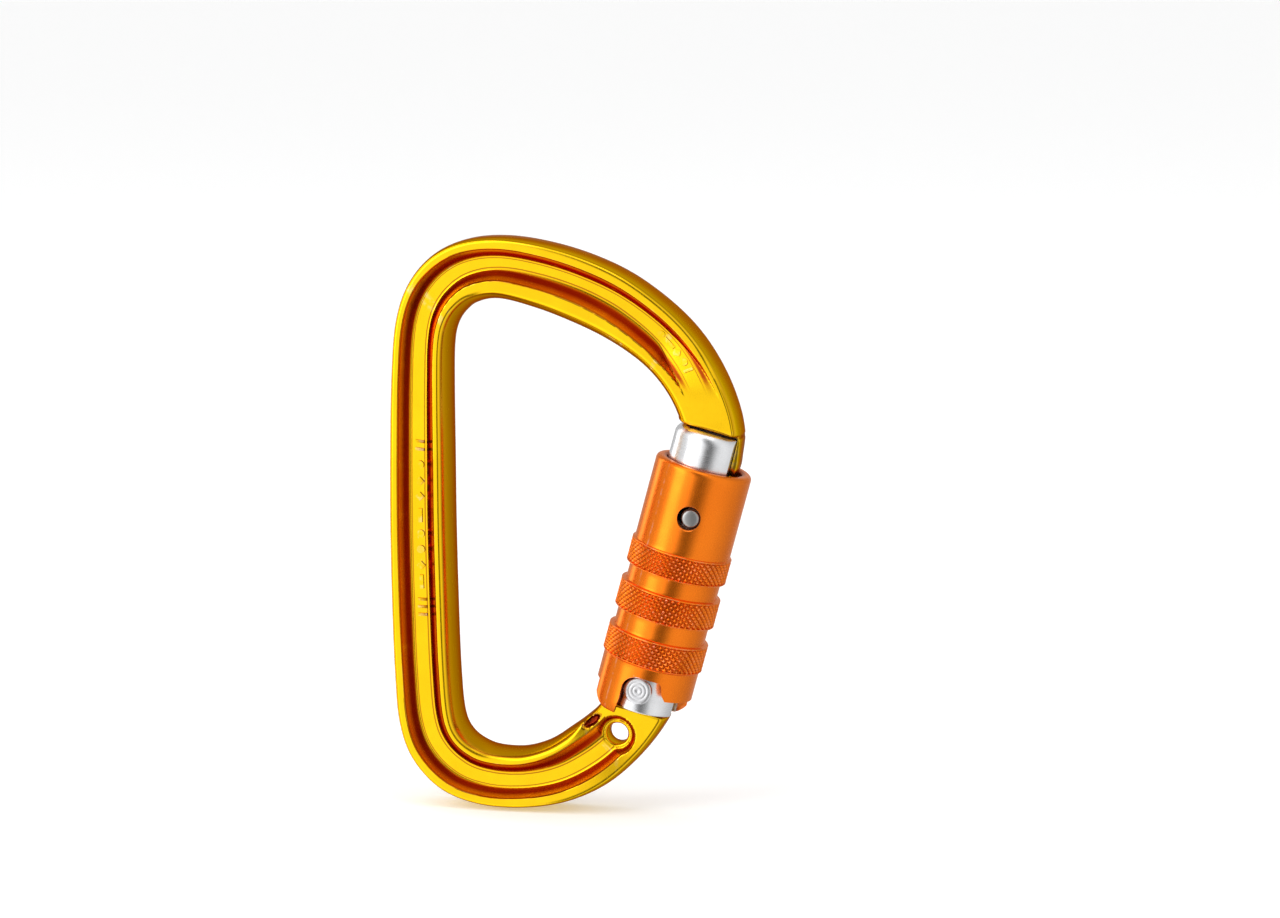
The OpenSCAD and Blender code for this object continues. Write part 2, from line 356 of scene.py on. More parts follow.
def loft(name, levels, place):
    """a strip: levels are (u, v inner, v outer, half width, corner)"""
    verts = []
    for u, vi, vo, hw, c in levels:
        verts += [(vi, -hw, u), (vo - c, -hw, u), (vo - 0.3 * c, -hw + 0.3 * c, u), (vo, -hw + c, u),
                  (vo, hw - c, u), (vo - 0.3 * c, hw - 0.3 * c, u), (vo - c, hw, u), (vi, hw, u)]
    n, m = len(levels), 8
    faces = grid_faces(n, m) + [tuple(range(m)), tuple((n - 1) * m + k for k in range(m - 1, -1, -1))]
    return fix_normals(make(name, place(np.array(verts, float)), faces))


def mark_prism(pieces, p_c, t_c, pts, holes=None, side=-1, lift=0.27):
    """a raised mark on the web: pts are (along, across) in mm about the guide place (p_c, t_c)"""
    g0, g1 = guide(np.array(p_c - 0.05)), guide(np.array(p_c + 0.05))
    c0 = g0[:2] + (g0[2:4] - g0[:2]) * t_c
    c1 = g1[:2] + (g1[2:4] - g1[:2]) * t_c
    speed = np.hypot(*(c1 - c0)) / 0.1
    gm = guide(np.array(p_c))
    width = np.hypot(gm[0] - gm[2], gm[1] - gm[3])

    def ring(poly, dy):
        poly = np.array(poly, float)
        p = p_c + poly[:, 0] / speed
        t = t_c + poly[:, 1] / width
        x, z = place_xz(p, t)
        y = half_y(p, t)
        return np.stack([x, side * (y + dy), z], -1)

    n = len(pts)
    if holes is None:
        v = np.concatenate([ring(pts, lift), ring(pts, -0.4)])
        f = [tuple(range(n)), tuple(range(2 * n - 1, n - 1, -1))] + [(k, n + k, n + (k + 1) % n, (k + 1) % n) for k in range(n)]
    else:
        v = np.concatenate([ring(pts, lift), ring(holes, lift), ring(holes, -0.4), ring(pts, -0.4)])
        f = grid_faces(4, n, close_rows=True)
    pieces.append((v, f))


def join_prisms(name, pieces):
    verts, faces, o = [], [], 0
    for v, f in pieces:
        verts.append(v)
        faces += [tuple(i + o for i in q) for q in f]
        o += len(v)
    return fix_normals(make(name, np.concatenate(verts), faces))


def circle(r, n=28):
    return [(r * math.cos(2 * math.pi * k / n), r * math.sin(2 * math.pi * k / n)) for k in range(n)]


def box_pts(a, b, n=1):
    return [(-a, -b), (a, -b), (a, b), (-a, b)]


SHAPES = {"bar": box_pts(0.24, 0.85), "dot": circle(0.72), "long": box_pts(1.25, 0.34), "lozenge": [(-0.8, 0), (0, -0.8), (0.8, 0), (0, 0.8)]}


def web_marks():
    """plain raised marks on the web where such a body carries its markings: dots, bars and lozenges, no letters"""
    out = []
    # spine, front: from the top down
    t = 0.485
    def at_z(z):
        ps = np.linspace(13.0, 19.0, 1200)
        _, zz = place_xz(ps, np.full_like(ps, t))
        return float(ps[np.argmin(np.abs(zz - z))])
    for z, kind in ((-26.0, "bar"), (-27.4, "bar"), (-30.2, "dot"), (-33.2, "lozenge"), (-36.0, "lozenge"), (-39.4, "long"), (-42.8, "dot"),
                    (-45.6, "dot"), (-48.6, "lozenge"), (-51.6, "long"), (-54.8, "bar"), (-56.2, "bar"), (-57.6, "bar")):
        pc = at_z(z)
        mark_prism(out, pc, t, SHAPES[kind])
    # top arm, front
    for p, kind in ((3.42, "bar"), (3.68, "dot"), (4.0, "lozenge"), (4.36, "long"), (4.7, "dot")):
        mark_prism(out, p, 0.43, SHAPES[kind], lift=0.2)
    # back of the spine: two dots and a long bar
    for z, kind in ((-34.0, "dot"), (-38.0, "long"), (-42.0, "dot")):
        pc = at_z(z)
        mark_prism(out, pc, t, SHAPES[kind], side=1)
    return out


body = build_body()
tang = prism("tang_tool", [(-5.2, -5.4), (-4.6, -1), (-3.9, 1.6), (-2.9, 3.1), (-1.4, 3.75), (0.4, 3.8), (2.4, 3.55), (3.9, 2.6), (4.8, 1.2), (5.3, -1), (5.5, -5.4)], -2.2, 2.2, gate_to_part)
lip = loft("lip_tool", [
    (50.9, 3.4, 4.2, 2.5, 0.9), (49.9, 3.7, 4.86, 2.8, 0.9), (48.9, 4.2, 5.14, 2.85, 0.85), (48.2, 4.5, 5.33, 2.8, 0.75),
    (47.95, 5.02, 5.4, 2.75, 0.3), (47.4, 5.02, 5.5, 2.7, 0.3), (46.7, 5.02, 5.62, 2.6, 0.3), (45.8, 5.02, 5.74, 2.5, 0.3),
    (44.8, 5.02, 5.87, 2.45, 0.3), (43.6, 5.02, 6.04, 2.42, 0.3), (42.6, 5.02, 6.06, 2.38, 0.3), (41.8, 5.02, 5.95, 2.3, 0.3),
    (41.3, 5.02, 5.75, 2.15, 0.28), (41.0, 5.02, 5.5, 1.95, 0.25)], gate_to_part)
marks = join_prisms("marks_tool", web_marks())
boolean(body, "UNION", tang, lip, marks)
cord_cut = lathe("cord_tool", [(0, -6.0), (3.1, -6.0), (3.1, -2.9), (2.45, -2.2), (2.1, -2.0), (1.9, -1.6), (1.9, 1.6), (2.1, 2.0), (2.45, 2.2), (3.1, 2.9), (3.1, 6.0), (0, 6.0)], 72, place=lambda v: np.stack([v[:, 0] + CORD[0], v[:, 2], v[:, 1] + CORD[1]], -1))
pivot_cut = tube("pivot_tool", 2.35, -3, 3, 72, place=gate_to_part)
boolean(body, "DIFFERENCE", cord_cut, pivot_cut)
smooth(body, 34)

# the groove's depth and walls, kept on the mesh for the painted shade and painted reflection in its colour
co = np.empty(len(body.data.vertices) * 3)
body.data.vertices.foreach_get("co", co)
co = co.reshape(-1, 3) / MM


def nearest_place(x, z):
    """guide place and place across of points in the X Z plane"""
    ps = np.linspace(0.3, 27.9, 900)
    g = guide(ps)
    o, i = g[:, :2], g[:, 2:4]
    d = i - o
    L = (d ** 2).sum(1)
    best = np.full(len(x), 1e9)
    bp, bt = np.zeros(len(x)), np.zeros(len(x))
    for k in range(len(ps)):
        rx, rz = x - o[k, 0], z - o[k, 1]
        t = np.clip((rx * d[k, 0] + rz * d[k, 1]) / L[k], 0, 1)
        e = (rx - t * d[k, 0]) ** 2 + (rz - t * d[k, 1]) ** 2
        m = e < best
        best[m] = e[m]
        bp[m] = ps[k]
        bt[m] = t[m]
    return bp, bt


bp, bt = nearest_place(co[:, 0], co[:, 2])
_, inside, depth, rise, pocket = half_y(bp, bt, parts=True)
face_y = np.abs(co[:, 1])
outward = smoothstep((face_y - 0.5) / 1.0)
in_recess = smoothstep(inside / 0.03) * smoothstep(rise / 0.35) * (1 - smoothstep((inside - 1.0) / 0.05))
# painted reflection down the wall: brownish at the crest, deep red half way, lighter above the floor, a painted dark
# line at both edges
painted_shade = np.interp(inside, [0.0, 0.06, 0.14, 0.28, 0.42, 0.66, 0.80, 0.92, 0.98, 1.04], [0.2, 0.7, 0.08, 0.35, 0.95, 0.95, 0.28, 0.06, 0.6, 0.0]) * in_recess * outward
# painted shade: the inner side faces are tinted brown
side_in = (inside < 0) * (bt > 0.6) * smoothstep((0.93 - face_y / guide(bp)[:, 4]) / 0.1)
painted_shade = np.maximum(painted_shade, 0.4 * side_in)
# painted shade in the small pocket, on top of its real depth
pocket = smoothstep(pocket / 0.5) * outward
painted_shade = np.maximum(painted_shade, pocket)
# the nose's lower edge: a painted shadow, a soft brown band instead of a line
gu = along(co[:, 0], co[:, 2])
at_end = (bp < 3) * smoothstep((NOSE_U + 0.75 - gu) / 0.5) * (gu > NOSE_U - 0.1)
painted_shade = np.maximum(painted_shade, 0.5 * at_end)
# painted dark lines at the crest and floor edges of the recess, standing in for reflections of the dark studio gap
line = np.maximum(smoothstep(1 - np.abs(inside - 0.07) / 0.07), smoothstep(1 - np.abs(inside - 0.99) / 0.06)) * in_recess * outward
# a faint painted dark line where the flat face turns into the side, also a painted reflection
gg = guide(bp)
flat = np.clip((face_y / gg[:, 4] - 0.80) / 0.14, 0, 1)
turn = smoothstep(1 - np.abs(face_y / gg[:, 4] - 0.9) / 0.07) * (inside < 0) * np.where(bt > 0.6, 1.0, 0.5)
# both attributes hold painted light: painted shade and reflection in the one, painted dark lines and the pocket's
# painted shade in the other
for nm, val in (("painted_shade", painted_shade), ("line", np.maximum(np.maximum(line, turn) * (1 - at_end) * (1 - pocket), 0.75 * pocket))):
    at = body.data.attributes.new(nm, "FLOAT", "POINT")
    at.data.foreach_set("value", val.astype(np.float32))

# ------------------------------------------------------------------ the gate
def arc(cx, cz, r, a0, a1, n):
    return [(cx + r * math.cos(math.radians(a0 + (a1 - a0) * k / n)), cz + r * math.sin(math.radians(a0 + (a1 - a0) * k / n))) for k in range(n + 1)]


def densify(prof, step):
    out = []
    for (a, b), (c, d) in zip(prof[:-1], prof[1:]):
        n = max(1, int(math.ceil(math.hypot(c - a, d - b) / step)))
        out += [(a + (c - a) * k / n, b + (d - b) * k / n) for k in range(n)]
    return out + [prof[-1]]


GR, GT = 6.65, 47.95
gate_prof = [(0, -3.95)] + [(3, -3.95), (6.3, -3.95)] + arc(6.3, -3.6, 0.35, -90, 0, 4)[1:] + densify([(GR, -3.6), (GR, 7.1)], 2.5)[1:] + [(GR - 0.1, 7.2), (5.5, 7.2)] \
    + densify([(5.5, 7.2), (5.5, 29.5)], 4)[1:] + [(GR - 0.1, 29.5), (GR, 29.6)] + densify([(GR, 29.6), (GR, GT - 1.85)], 1.5)[1:] + arc(GR - 1.85, GT - 1.85, 1.85, 0, 90, 12)[1:] + [(2.4, GT), (0, GT)]
gate = lathe("gate_barrel", gate_prof, 192, place=gate_to_part)


def sector(r0, r1, a0, a1, n=48):
    o = [(r1 * math.cos(math.radians(a0 + (a1 - a0) * k / n)), r1 * math.sin(math.radians(a0 + (a1 - a0) * k / n))) for k in range(n + 1)]
    if r0 <= 0:
        return [(0, 0)] + o
    return o + [(r0 * math.cos(math.radians(a1 - (a1 - a0) * k / n)), r0 * math.sin(math.radians(a1 - (a1 - a0) * k / n))) for k in range(n + 1)]


boolean(gate, "DIFFERENCE",
        prism("t1", [(-1.1, -3.95), (-9, -0.27), (-9, -8), (-1.1, -8)], -10, 10, gate_to_part),
        prism("t2", [(-9, -6), (9, -6), (9, 4.9), (8.7, 5.2), (-8.7, 5.2), (-9, 4.9)], -2.35, 2.35, gate_to_part))
boolean(gate, "DIFFERENCE",
        tube("t3", 2.25, 5, 21, 48, place=gate_to_part, axis="z"),
        tube("t4", 2.34, -10, 10, 64, place=gate_to_part),
        prism("t5", [(4.9, 36.8), (9, 36.8), (9, 50), (4.9, 50)], -8, 8, gate_to_part),
        prism("t6", sector(4.9, 8, 170, 298), 31.1, 39, gate_to_part, axis="z"))
smooth(gate, 30)

# ------------------------------------------------------------------ the sleeve
SR, BR, GRV, ST = 8.7, 9.1, 8.3, 41.6
COLS = 576


def sleeve_profile():
    """(r, u, knurl weight) rows, a closed loop up the outside and down the bore"""
    rows = [(7.15, -4.6, 0), (7.3, -4.8, 0), (8.0, -4.8, 0)]
    rows += [(r, z, 0) for r, z in [(8.2, -4.76), (8.36, -4.62), (8.5, -4.35), (8.6, -3.95), (8.67, -3.5), (8.7, -2.9)]]
    rows += [(8.7, z, 0) for z in np.linspace(-2.2, 4.5, 15)]
    rows += [(8.72, 4.72, 0), (8.85, 4.9, 0), (9.0, 5.0, 0.0)]
    def band(z0, z1):
        n = int(round((z1 - z0 - 0.5) / 0.105))
        out = [(BR, z0 + 0.06, 0.0), (BR, z0 + 0.16, 0.0)]
        out += [(BR, z, 1.0) for z in np.linspace(z0 + 0.25, z1 - 0.25, n)]
        out += [(BR, z1 - 0.16, 0.0), (BR, z1 - 0.06, 0.0)]
        return out
    rows += band(5.0, 9.8)
    rows += [(9.02, 9.84, 0), (8.7, 9.88, 0), (8.42, 9.93, 0), (8.33, 10.0, 0), (8.3, 10.15, 0)]
    rows += [(8.3, z, 0) for z in np.linspace(10.5, 12.9, 6)]
    rows += [(8.33, 13.2, 0), (8.42, 13.27, 0), (8.7, 13.32, 0), (9.02, 13.36, 0)]
    rows += band(13.4, 18.3)
    rows += [(9.02, 18.34, 0), (8.7, 18.38, 0), (8.42, 18.43, 0), (8.33, 18.5, 0), (8.3, 18.65, 0)]
    rows += [(8.3, z, 0) for z in np.linspace(18.95, 21.1, 6)]
    rows += [(8.33, 21.4, 0), (8.42, 21.47, 0), (8.7, 21.52, 0), (9.02, 21.56, 0)]
    rows += band(21.6, 26.0)
    rows += [(9.02, 26.04, 0), (8.86, 26.08, 0), (8.74, 26.14, 0), (8.7, 26.25, 0)]
    rows += [(8.7, z, 0) for z in np.linspace(26.8, 40.4, 22)]
    rows += [(8.7 - 0.85 * (1 - math.cos(a)), 40.75 + 0.85 * math.sin(a), 0) for a in np.radians(np.linspace(0, 90, 9))]
    rows += [(7.5, 41.6, 0), (7.2, 41.58, 0), (7.0, 41.5, 0), (6.88, 41.36, 0), (6.82, 41.15, 0), (6.8, 40.8, 0)]
    rows += [(6.8, z, 0) for z in np.linspace(39.5, 31.2, 8)]
    rows += [(6.85, 30.95, 0), (7.1, 30.65, 0), (7.15, 30.4, 0)]
    rows += [(7.15, z, 0) for z in np.linspace(28, -3.8, 15)]
    return rows


def tri(x):
    return np.abs(x - np.round(x)) * 2


rows = sleeve_profile()
th = np.arange(COLS) * 2 * math.pi / COLS
verts = []
N_AROUND = 48
PITCH_U = 1.08
for r, z, k in rows:
    rr = np.full(COLS, r, float)
    if k:
        a = th * N_AROUND / (2 * math.pi)
        b = z / PITCH_U
        h = np.minimum(tri(a + b), tri(a - b))          # 0 in the cuts, 1 on the points
        rr -= 0.42 * (1 - np.minimum(h * 1.25, 0.9)) - 0.042
    verts.append(np.stack([rr * np.cos(th), rr * np.sin(th), np.full(COLS, z)], -1))
sleeve = fix_normals(make("lock_sleeve", gate_to_part(np.concatenate(verts)), grid_faces(len(rows), COLS, close_rows=True)))


def turned(poly_tool_pts, y0, y1, name):
    """the same cutter on the front and, turned half round the gate axis, on the back"""
    a = prism(name + "a", poly_tool_pts, y0, y1, gate_to_part)
    b = prism(name + "b", [(-v, u) for v, u in poly_tool_pts], -y1, -y0, gate_to_part)
    return a, b


arch = [(-3.1, -7), (-2.95, -4.2), (-2.66, -1.8), (-2.74, 0.2)] + [(2.78 * math.cos(math.radians(a)), 2.78 * math.sin(math.radians(a)) + 0.12) for a in range(172, 76, -6)] \
    + [(1.6, 2.84), (3.2, 2.8), (3.75, 2.66), (4.05, 2.3), (4.25, 1.6), (4.42, 0.85), (4.75, 0.3), (5.25, -0.42), (5.25, -7)]
c1, c2 = turned(arch, -10, -4, "arch")
boolean(sleeve, "DIFFERENCE", c1, c2)
# the lower edge stands back except for the two lobes, which straddle the body
low = -0.4
boolean(sleeve, "DIFFERENCE", prism("s1", sector(0, 12, -62, 0), -7, low, gate_to_part, axis="z"))
boolean(sleeve, "DIFFERENCE", prism("s2", sector(0, 12, 118, 180), -7, low, gate_to_part, axis="z"))
boolean(sleeve, "DIFFERENCE", prism("s5", [(-12, -7), (12, -7), (12, low), (-12, low)], -4.22, 4.22, gate_to_part))
c3, c4 = turned([(-12, -1.9), (-8.2, -1.9), (-7.75, -2.45), (-7.2, -3.3), (-6.5, -4.0), (-5.7, -4.5), (-4.6, -4.95), (-4.6, -7), (-12, -7)], -10, -4, "lobe")
boolean(sleeve, "DIFFERENCE", c3, c4)
pin_dir = math.radians(277.5)


def pin_place(v):
    """lathe axis z to the radial direction of the guide pin, at u 33"""
    c, s = math.cos(pin_dir), math.sin(pin_dir)
    return gate_to_part(np.stack([v[:, 2] * c - v[:, 0] * s, v[:, 2] * s + v[:, 0] * c, v[:, 1] + 33], -1))


boolean(sleeve, "DIFFERENCE",
        lathe("s3", [(0, 5.5), (2.08, 5.5), (2.08, 8.42), (2.2, 8.6), (2.55, 8.9), (2.55, 9.6), (0, 9.6)], 72, place=pin_place),
        prism("s4", [(-3, 36.6), (-2.8, 36.2), (-2.4, 36), (2.4, 36), (2.8, 36.2), (3, 36.6), (3, 44), (-3, 44)], 4, 10, gate_to_part))
smooth(sleeve, 28)
co = np.empty(len(sleeve.data.vertices) * 3)
sleeve.data.vertices.foreach_get("co", co)
co = co.reshape(-1, 3) / MM
v_ = (co[:, 0] - HX) * CL - (co[:, 2] - HZ) * SL
u_ = along(co[:, 0], co[:, 2])
rad = np.hypot(v_, co[:, 1])
# painted shade: darker in the knurl cuts and inside the bore
in_band = ((u_ > 5) & (u_ < 9.8)) | ((u_ > 13.4) & (u_ < 18.3)) | ((u_ > 21.6) & (u_ < 26))
cut = np.where(in_band & (rad > 8), 0.5 * smoothstep((BR - rad) / 0.38), 0)
inside = smoothstep((7.6 - rad) / 0.4)
at = sleeve.data.attributes.new("painted_shade", "FLOAT", "POINT")
at.data.foreach_set("value", np.maximum(cut, inside).astype(np.float32))

# ------------------------------------------------------------------ rivet and pin
def rivet_prof():
    rows = [(0, -6.7), (0.22, -6.7), (0.32, -6.735), (0.8, -6.735), (0.88, -6.71), (0.96, -6.735), (1.5, -6.73), (1.58, -6.705), (1.66, -6.73), (2.05, -6.72), (2.3, -6.66), (2.48, -6.54), (2.58, -6.38), (2.6, -6.2), (2.6, -5.9), (2.3, -5.85)]
    return rows + [(2.3, -2.5), (2.3, 2.5)] + [(r, -z) for r, z in rows[::-1]]


rivet = lathe("hinge_rivet_pin", rivet_prof(), 96, place=lambda v: gate_to_part(np.stack([v[:, 0], v[:, 2], v[:, 1]], -1)))
smooth(rivet, 40)
pin = lathe("sleeve_guide_pin", [(0, 5.2), (1.5, 5.2), (1.6, 5.3), (1.6, 7.0), (1.68, 7.05), (1.68, 7.45), (1.6, 7.5), (1.62, 7.9), (1.6, 8.1), (1.52, 8.26), (1.36, 8.38), (1.12, 8.46), (0.8, 8.51), (0.4, 8.54), (0, 8.55)], 72, place=lambda v: pin_place(v + np.array([0.3, 0, 0]) * (v[:, 2:3] > 6.9)))
smooth(pin, 40)

# ------------------------------------------------------------------ materials
def nodes_of(name):
    m = bpy.data.materials.new(name)
    m.use_nodes = True
    nt = m.node_tree
    return m, nt, nt.nodes["Principled BSDF"]


def link(nt, a, b):
    nt.links.new(a, b)


def noise(nt, vec, scale, detail=4, rough=0.55, dist=0.0):
    n = nt.nodes.new("ShaderNodeTexNoise")
    n.inputs["Scale"].default_value = scale
    n.inputs["Detail"].default_value = detail
    n.inputs["Roughness"].default_value = rough
    n.inputs["Distortion"].default_value = dist
    link(nt, vec, n.inputs["Vector"])
    return n.outputs["Fac"]


def ramp(nt, fac, stops):
    r = nt.nodes.new("ShaderNodeValToRGB")
    e = r.color_ramp.elements
    while len(e) < len(stops):
        e.new(0.5)
    for el, (p, c) in zip(e, stops):
        el.position = p
        el.color = (c, c, c, 1) if isinstance(c, (int, float)) else (*c, 1)
    link(nt, fac, r.inputs["Fac"])
    return r.outputs["Color"]


def mix(nt, fac, a, b, kind="MIX"):
    m = nt.nodes.new("ShaderNodeMix")
    m.data_type = "RGBA"
    m.blend_type = kind
    for s, v in ((m.inputs[0], fac), (m.inputs[6], a), (m.inputs[7], b)):
        if isinstance(v, (int, float)):
            s.default_value = v
        elif isinstance(v, tuple):
            s.default_value = (*v, 1)
        else:
            link(nt, v, s)
    return m.outputs[2]


def mapped(nt, scale=(1, 1, 1), lean=False):
    tc = nt.nodes.new("ShaderNodeTexCoord")
    src = tc.outputs["Object"]
    if lean:
        r = nt.nodes.new("ShaderNodeMapping")
        r.inputs["Rotation"].default_value = (0, -LEAN, 0)
        link(nt, src, r.inputs["Vector"])
        src = r.outputs["Vector"]
    m = nt.nodes.new("ShaderNodeMapping")
    m.inputs["Scale"].default_value = scale
    link(nt, src, m.inputs["Vector"])
    return m.outputs["Vector"]


def remap(nt, v, a, b, c, d):
    m = nt.nodes.new("ShaderNodeMapRange")
    for i, x in enumerate((a, b, c, d)):
        m.inputs[i + 1].default_value = x
    link(nt, v, m.inputs[0])
    return m.outputs[0]


def bump(nt, bs, height, strength, distance):
    b = nt.nodes.new("ShaderNodeBump")
    b.inputs["Strength"].default_value = strength
    b.inputs["Distance"].default_value = distance
    link(nt, height, b.inputs["Height"])
    link(nt, b.outputs["Normal"], bs.inputs["Normal"])


def math_node(nt, op, a, b):
    m = nt.nodes.new("ShaderNodeMath")
    m.operation = op
    for s, v in ((m.inputs[0], a), (m.inputs[1], b)):
        if isinstance(v, (int, float)):
            s.default_value = v
        else:
            link(nt, v, s)
    return m.outputs[0]


def anodised(name, light, mid, deep, rough=(0.2, 0.32), grazing=(0.55, 0.20, 0.02), metallic=1.0):
    """anodised aluminium: painted shade and painted reflection from the mesh attribute pull the colour to the deep
    tone, painted dark lines from the line attribute, faint mottling, handling scuffs and fine tumbling texture
    """
    m, nt, bs = nodes_of(name)
    bs.inputs["Metallic"].default_value = metallic
    bs.inputs["Specular Tint"].default_value = (*grazing, 1)
    vec = mapped(nt)
    big = noise(nt, vec, 90, 3)
    fine = noise(nt, vec, 2600, 3, 0.6)
    scratch = noise(nt, mapped(nt, (5200, 5200, 420)), 1, 2, 0.5, 0.4)
    att = nt.nodes.new("ShaderNodeAttribute")
    att.attribute_name = "painted_shade"
    col = mix(nt, remap(nt, big, 0.3, 0.7, 0.0, 1.0), light, mid)
    # painted shade and painted reflection: mix towards the deep colour where the mesh attribute says
    col = mix(nt, att.outputs["Fac"], col, deep)
    # painted dark lines from the line attribute, darker still than the deep colour
    painted_line = nt.nodes.new("ShaderNodeAttribute")
    painted_line.attribute_name = "line"
    col = mix(nt, math_node(nt, "MULTIPLY", painted_line.outputs["Fac"], 0.75), col, (deep[0] * 0.5, deep[1] * 0.6, deep[2]))
    geo = nt.nodes.new("ShaderNodeNewGeometry")
    edge = remap(nt, geo.outputs["Pointiness"], 0.52, 0.60, 0.0, 0.35)
    edge = math_node(nt, "MULTIPLY", edge, remap(nt, noise(nt, vec, 700, 4, 0.7), 0.45, 0.62, 0.0, 1.0))
    pale = tuple(min(1.0, c * 0.6 + 0.45) for c in light)
    col = mix(nt, edge, col, pale)
    link(nt, col, bs.inputs["Base Color"])
    ro = remap(nt, noise(nt, vec, 260, 5, 0.65), 0.3, 0.75, rough[0], rough[1])
    ro = math_node(nt, "ADD", ro, remap(nt, scratch, 0.62, 0.8, 0.0, 0.12))
    link(nt, ro, bs.inputs["Roughness"])
    h = math_node(nt, "ADD", math_node(nt, "MULTIPLY", fine, 0.5), math_node(nt, "MULTIPLY", scratch, 0.35))
    bump(nt, bs, h, 0.08, 0.00003)
    return m


def turned_metal(name, light, dark, rough, lean=True, scale=(300, 300, 16000), strength=0.25):
    """bare metal turned on a lathe: fine lines round the axis, mottled roughness"""
    m, nt, bs = nodes_of(name)
    bs.inputs["Metallic"].default_value = 1.0
    vec = mapped(nt)
    lines = noise(nt, mapped(nt, scale, lean), 1, 3, 0.6)
    blot = noise(nt, vec, 320, 4, 0.6)
    col = mix(nt, remap(nt, blot, 0.3, 0.7, 0, 1), light, dark)
    link(nt, col, bs.inputs["Base Color"])
    ro = math_node(nt, "ADD", remap(nt, blot, 0.3, 0.7, rough[0], rough[1]), remap(nt, lines, 0.3, 0.7, -0.03, 0.05))
    link(nt, ro, bs.inputs["Roughness"])
    h = math_node(nt, "ADD", math_node(nt, "MULTIPLY", lines, 0.7), math_node(nt, "MULTIPLY", noise(nt, vec, 3000, 3), 0.5))
    bump(nt, bs, h, strength, 0.00002)
    return m


def concentric(name, light, dark, rough, centre, axis_lean=True):
    """a turned end face: rings about the pin's own axis"""
    m, nt, bs = nodes_of(name)
    bs.inputs["Metallic"].default_value = 1.0
    tc = nt.nodes.new("ShaderNodeTexCoord")
    mp = nt.nodes.new("ShaderNodeMapping")
    mp.inputs["Location"].default_value = tuple(-c for c in centre)
    link(nt, tc.outputs["Object"], mp.inputs["Vector"])
    ax = nt.nodes.new("ShaderNodeMapping")
    ax.inputs["Scale"].default_value = (1, 0, 1)
    link(nt, mp.outputs["Vector"], ax.inputs["Vector"])
    ln = nt.nodes.new("ShaderNodeVectorMath")
    ln.operation = "LENGTH"
    link(nt, ax.outputs["Vector"], ln.inputs[0])
    cb = nt.nodes.new("ShaderNodeCombineXYZ")
    link(nt, ln.outputs["Value"], cb.inputs[0])
    rings = noise(nt, cb.outputs["Vector"], 7000, 2, 0.6)
    vec = mapped(nt)
    blot = noise(nt, vec, 500, 4, 0.6)
    col = mix(nt, remap(nt, blot, 0.3, 0.7, 0, 1), light, dark)
    link(nt, col, bs.inputs["Base Color"])
    ro = math_node(nt, "ADD", remap(nt, blot, 0.3, 0.7, rough[0], rough[1]), remap(nt, rings, 0.3, 0.7, -0.04, 0.06))
    link(nt, ro, bs.inputs["Roughness"])
    h = math_node(nt, "ADD", rings, math_node(nt, "MULTIPLY", noise(nt, vec, 2500, 3), 0.4))
    bump(nt, bs, h, 0.3, 0.00003)
    return m


# the third colour of each is the tone of the painted shade and painted reflection
gold = anodised("anodised_gold", (1.0, 0.61, 0.010), (0.94, 0.55, 0.008), (0.40, 0.032, 0.006), (0.17, 0.27))
orange = anodised("anodised_orange", (0.95, 0.215, 0.010), (0.90, 0.19, 0.008), (0.40, 0.05, 0.005), (0.21, 0.29), (1.0, 0.85, 0.7), 0.86)
silver = turned_metal("turned_aluminium", (0.86, 0.865, 0.88), (0.78, 0.785, 0.80), (0.2, 0.32))
rivet_m = concentric("rivet_steel_face", (0.80, 0.80, 0.81), (0.70, 0.70, 0.72), (0.28, 0.38), (HX * MM, 0, HZ * MM))
pin_m = turned_metal("pin_steel_grey", (0.42, 0.42, 0.41), (0.33, 0.33, 0.33), (0.32, 0.45), scale=(2500, 2500, 2500), strength=0.2)
inner_m = turned_metal("inner_steel", (0.55, 0.55, 0.56), (0.46, 0.46, 0.47), (0.28, 0.4))
spring_m = turned_metal("spring_wire", (0.50, 0.50, 0.52), (0.38, 0.38, 0.40), (0.22, 0.34), scale=(4000, 4000, 4000), strength=0.15)


def finish_piece(ob, mat, body_name, slot, *nodes):
    ob.data.materials.clear()
    ob.data.materials.append(mat)
    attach(ob, body_name)
    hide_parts(*nodes)


finish_piece(body, gold, "body", "body_gold", "frame")
finish_piece(gate, silver, "gate", "gate_silver", "gate")
finish_piece(sleeve, orange, "sleeve", "sleeve_orange", "sleeve")
finish_piece(rivet, rivet_m, "gate", "rivet_steel", "hinge_rivet")
finish_piece(pin, pin_m, "sleeve", "pin_steel", "guide_pin")
for n, mat in (("gate_plunger", inner_m), ("sleeve_bush", inner_m), ("spring_seat", inner_m), ("gate_spring", spring_m), ("sleeve_spring", spring_m)):
    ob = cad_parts[n]
    if ob.material_slots:
        for s in ob.material_slots:
            s.material = mat
    else:
        ob.data.materials.append(mat)

# ------------------------------------------------------------------ floor, light, camera
floor_z = cad_lo[2] - 0.0003


def plain_floor():
    me = bpy.data.meshes.new("floor")
    s = 12.0
    me.from_pydata([(-s, -s, floor_z), (s, -s, floor_z), (s, s, floor_z), (-s, s, floor_z)], [], [(0, 1, 2, 3)])
    ob = bpy.data.objects.new("floor", me)
    bpy.context.scene.collection.objects.link(ob)
    m, nt, bs = nodes_of("floor_white")
    bs.inputs["Base Color"].default_value = (0.9, 0.9, 0.9, 1)
    bs.inputs["Roughness"].default_value = 0.9
    bs.inputs["Specular IOR Level"].default_value = 0.1
    bs.inputs["Emission Color"].default_value = (1, 1, 1, 1)
    bs.inputs["Emission Strength"].default_value = 0.22
    me.materials.append(m)
    ob.visible_glossy = False
    return ob


plain_floor()


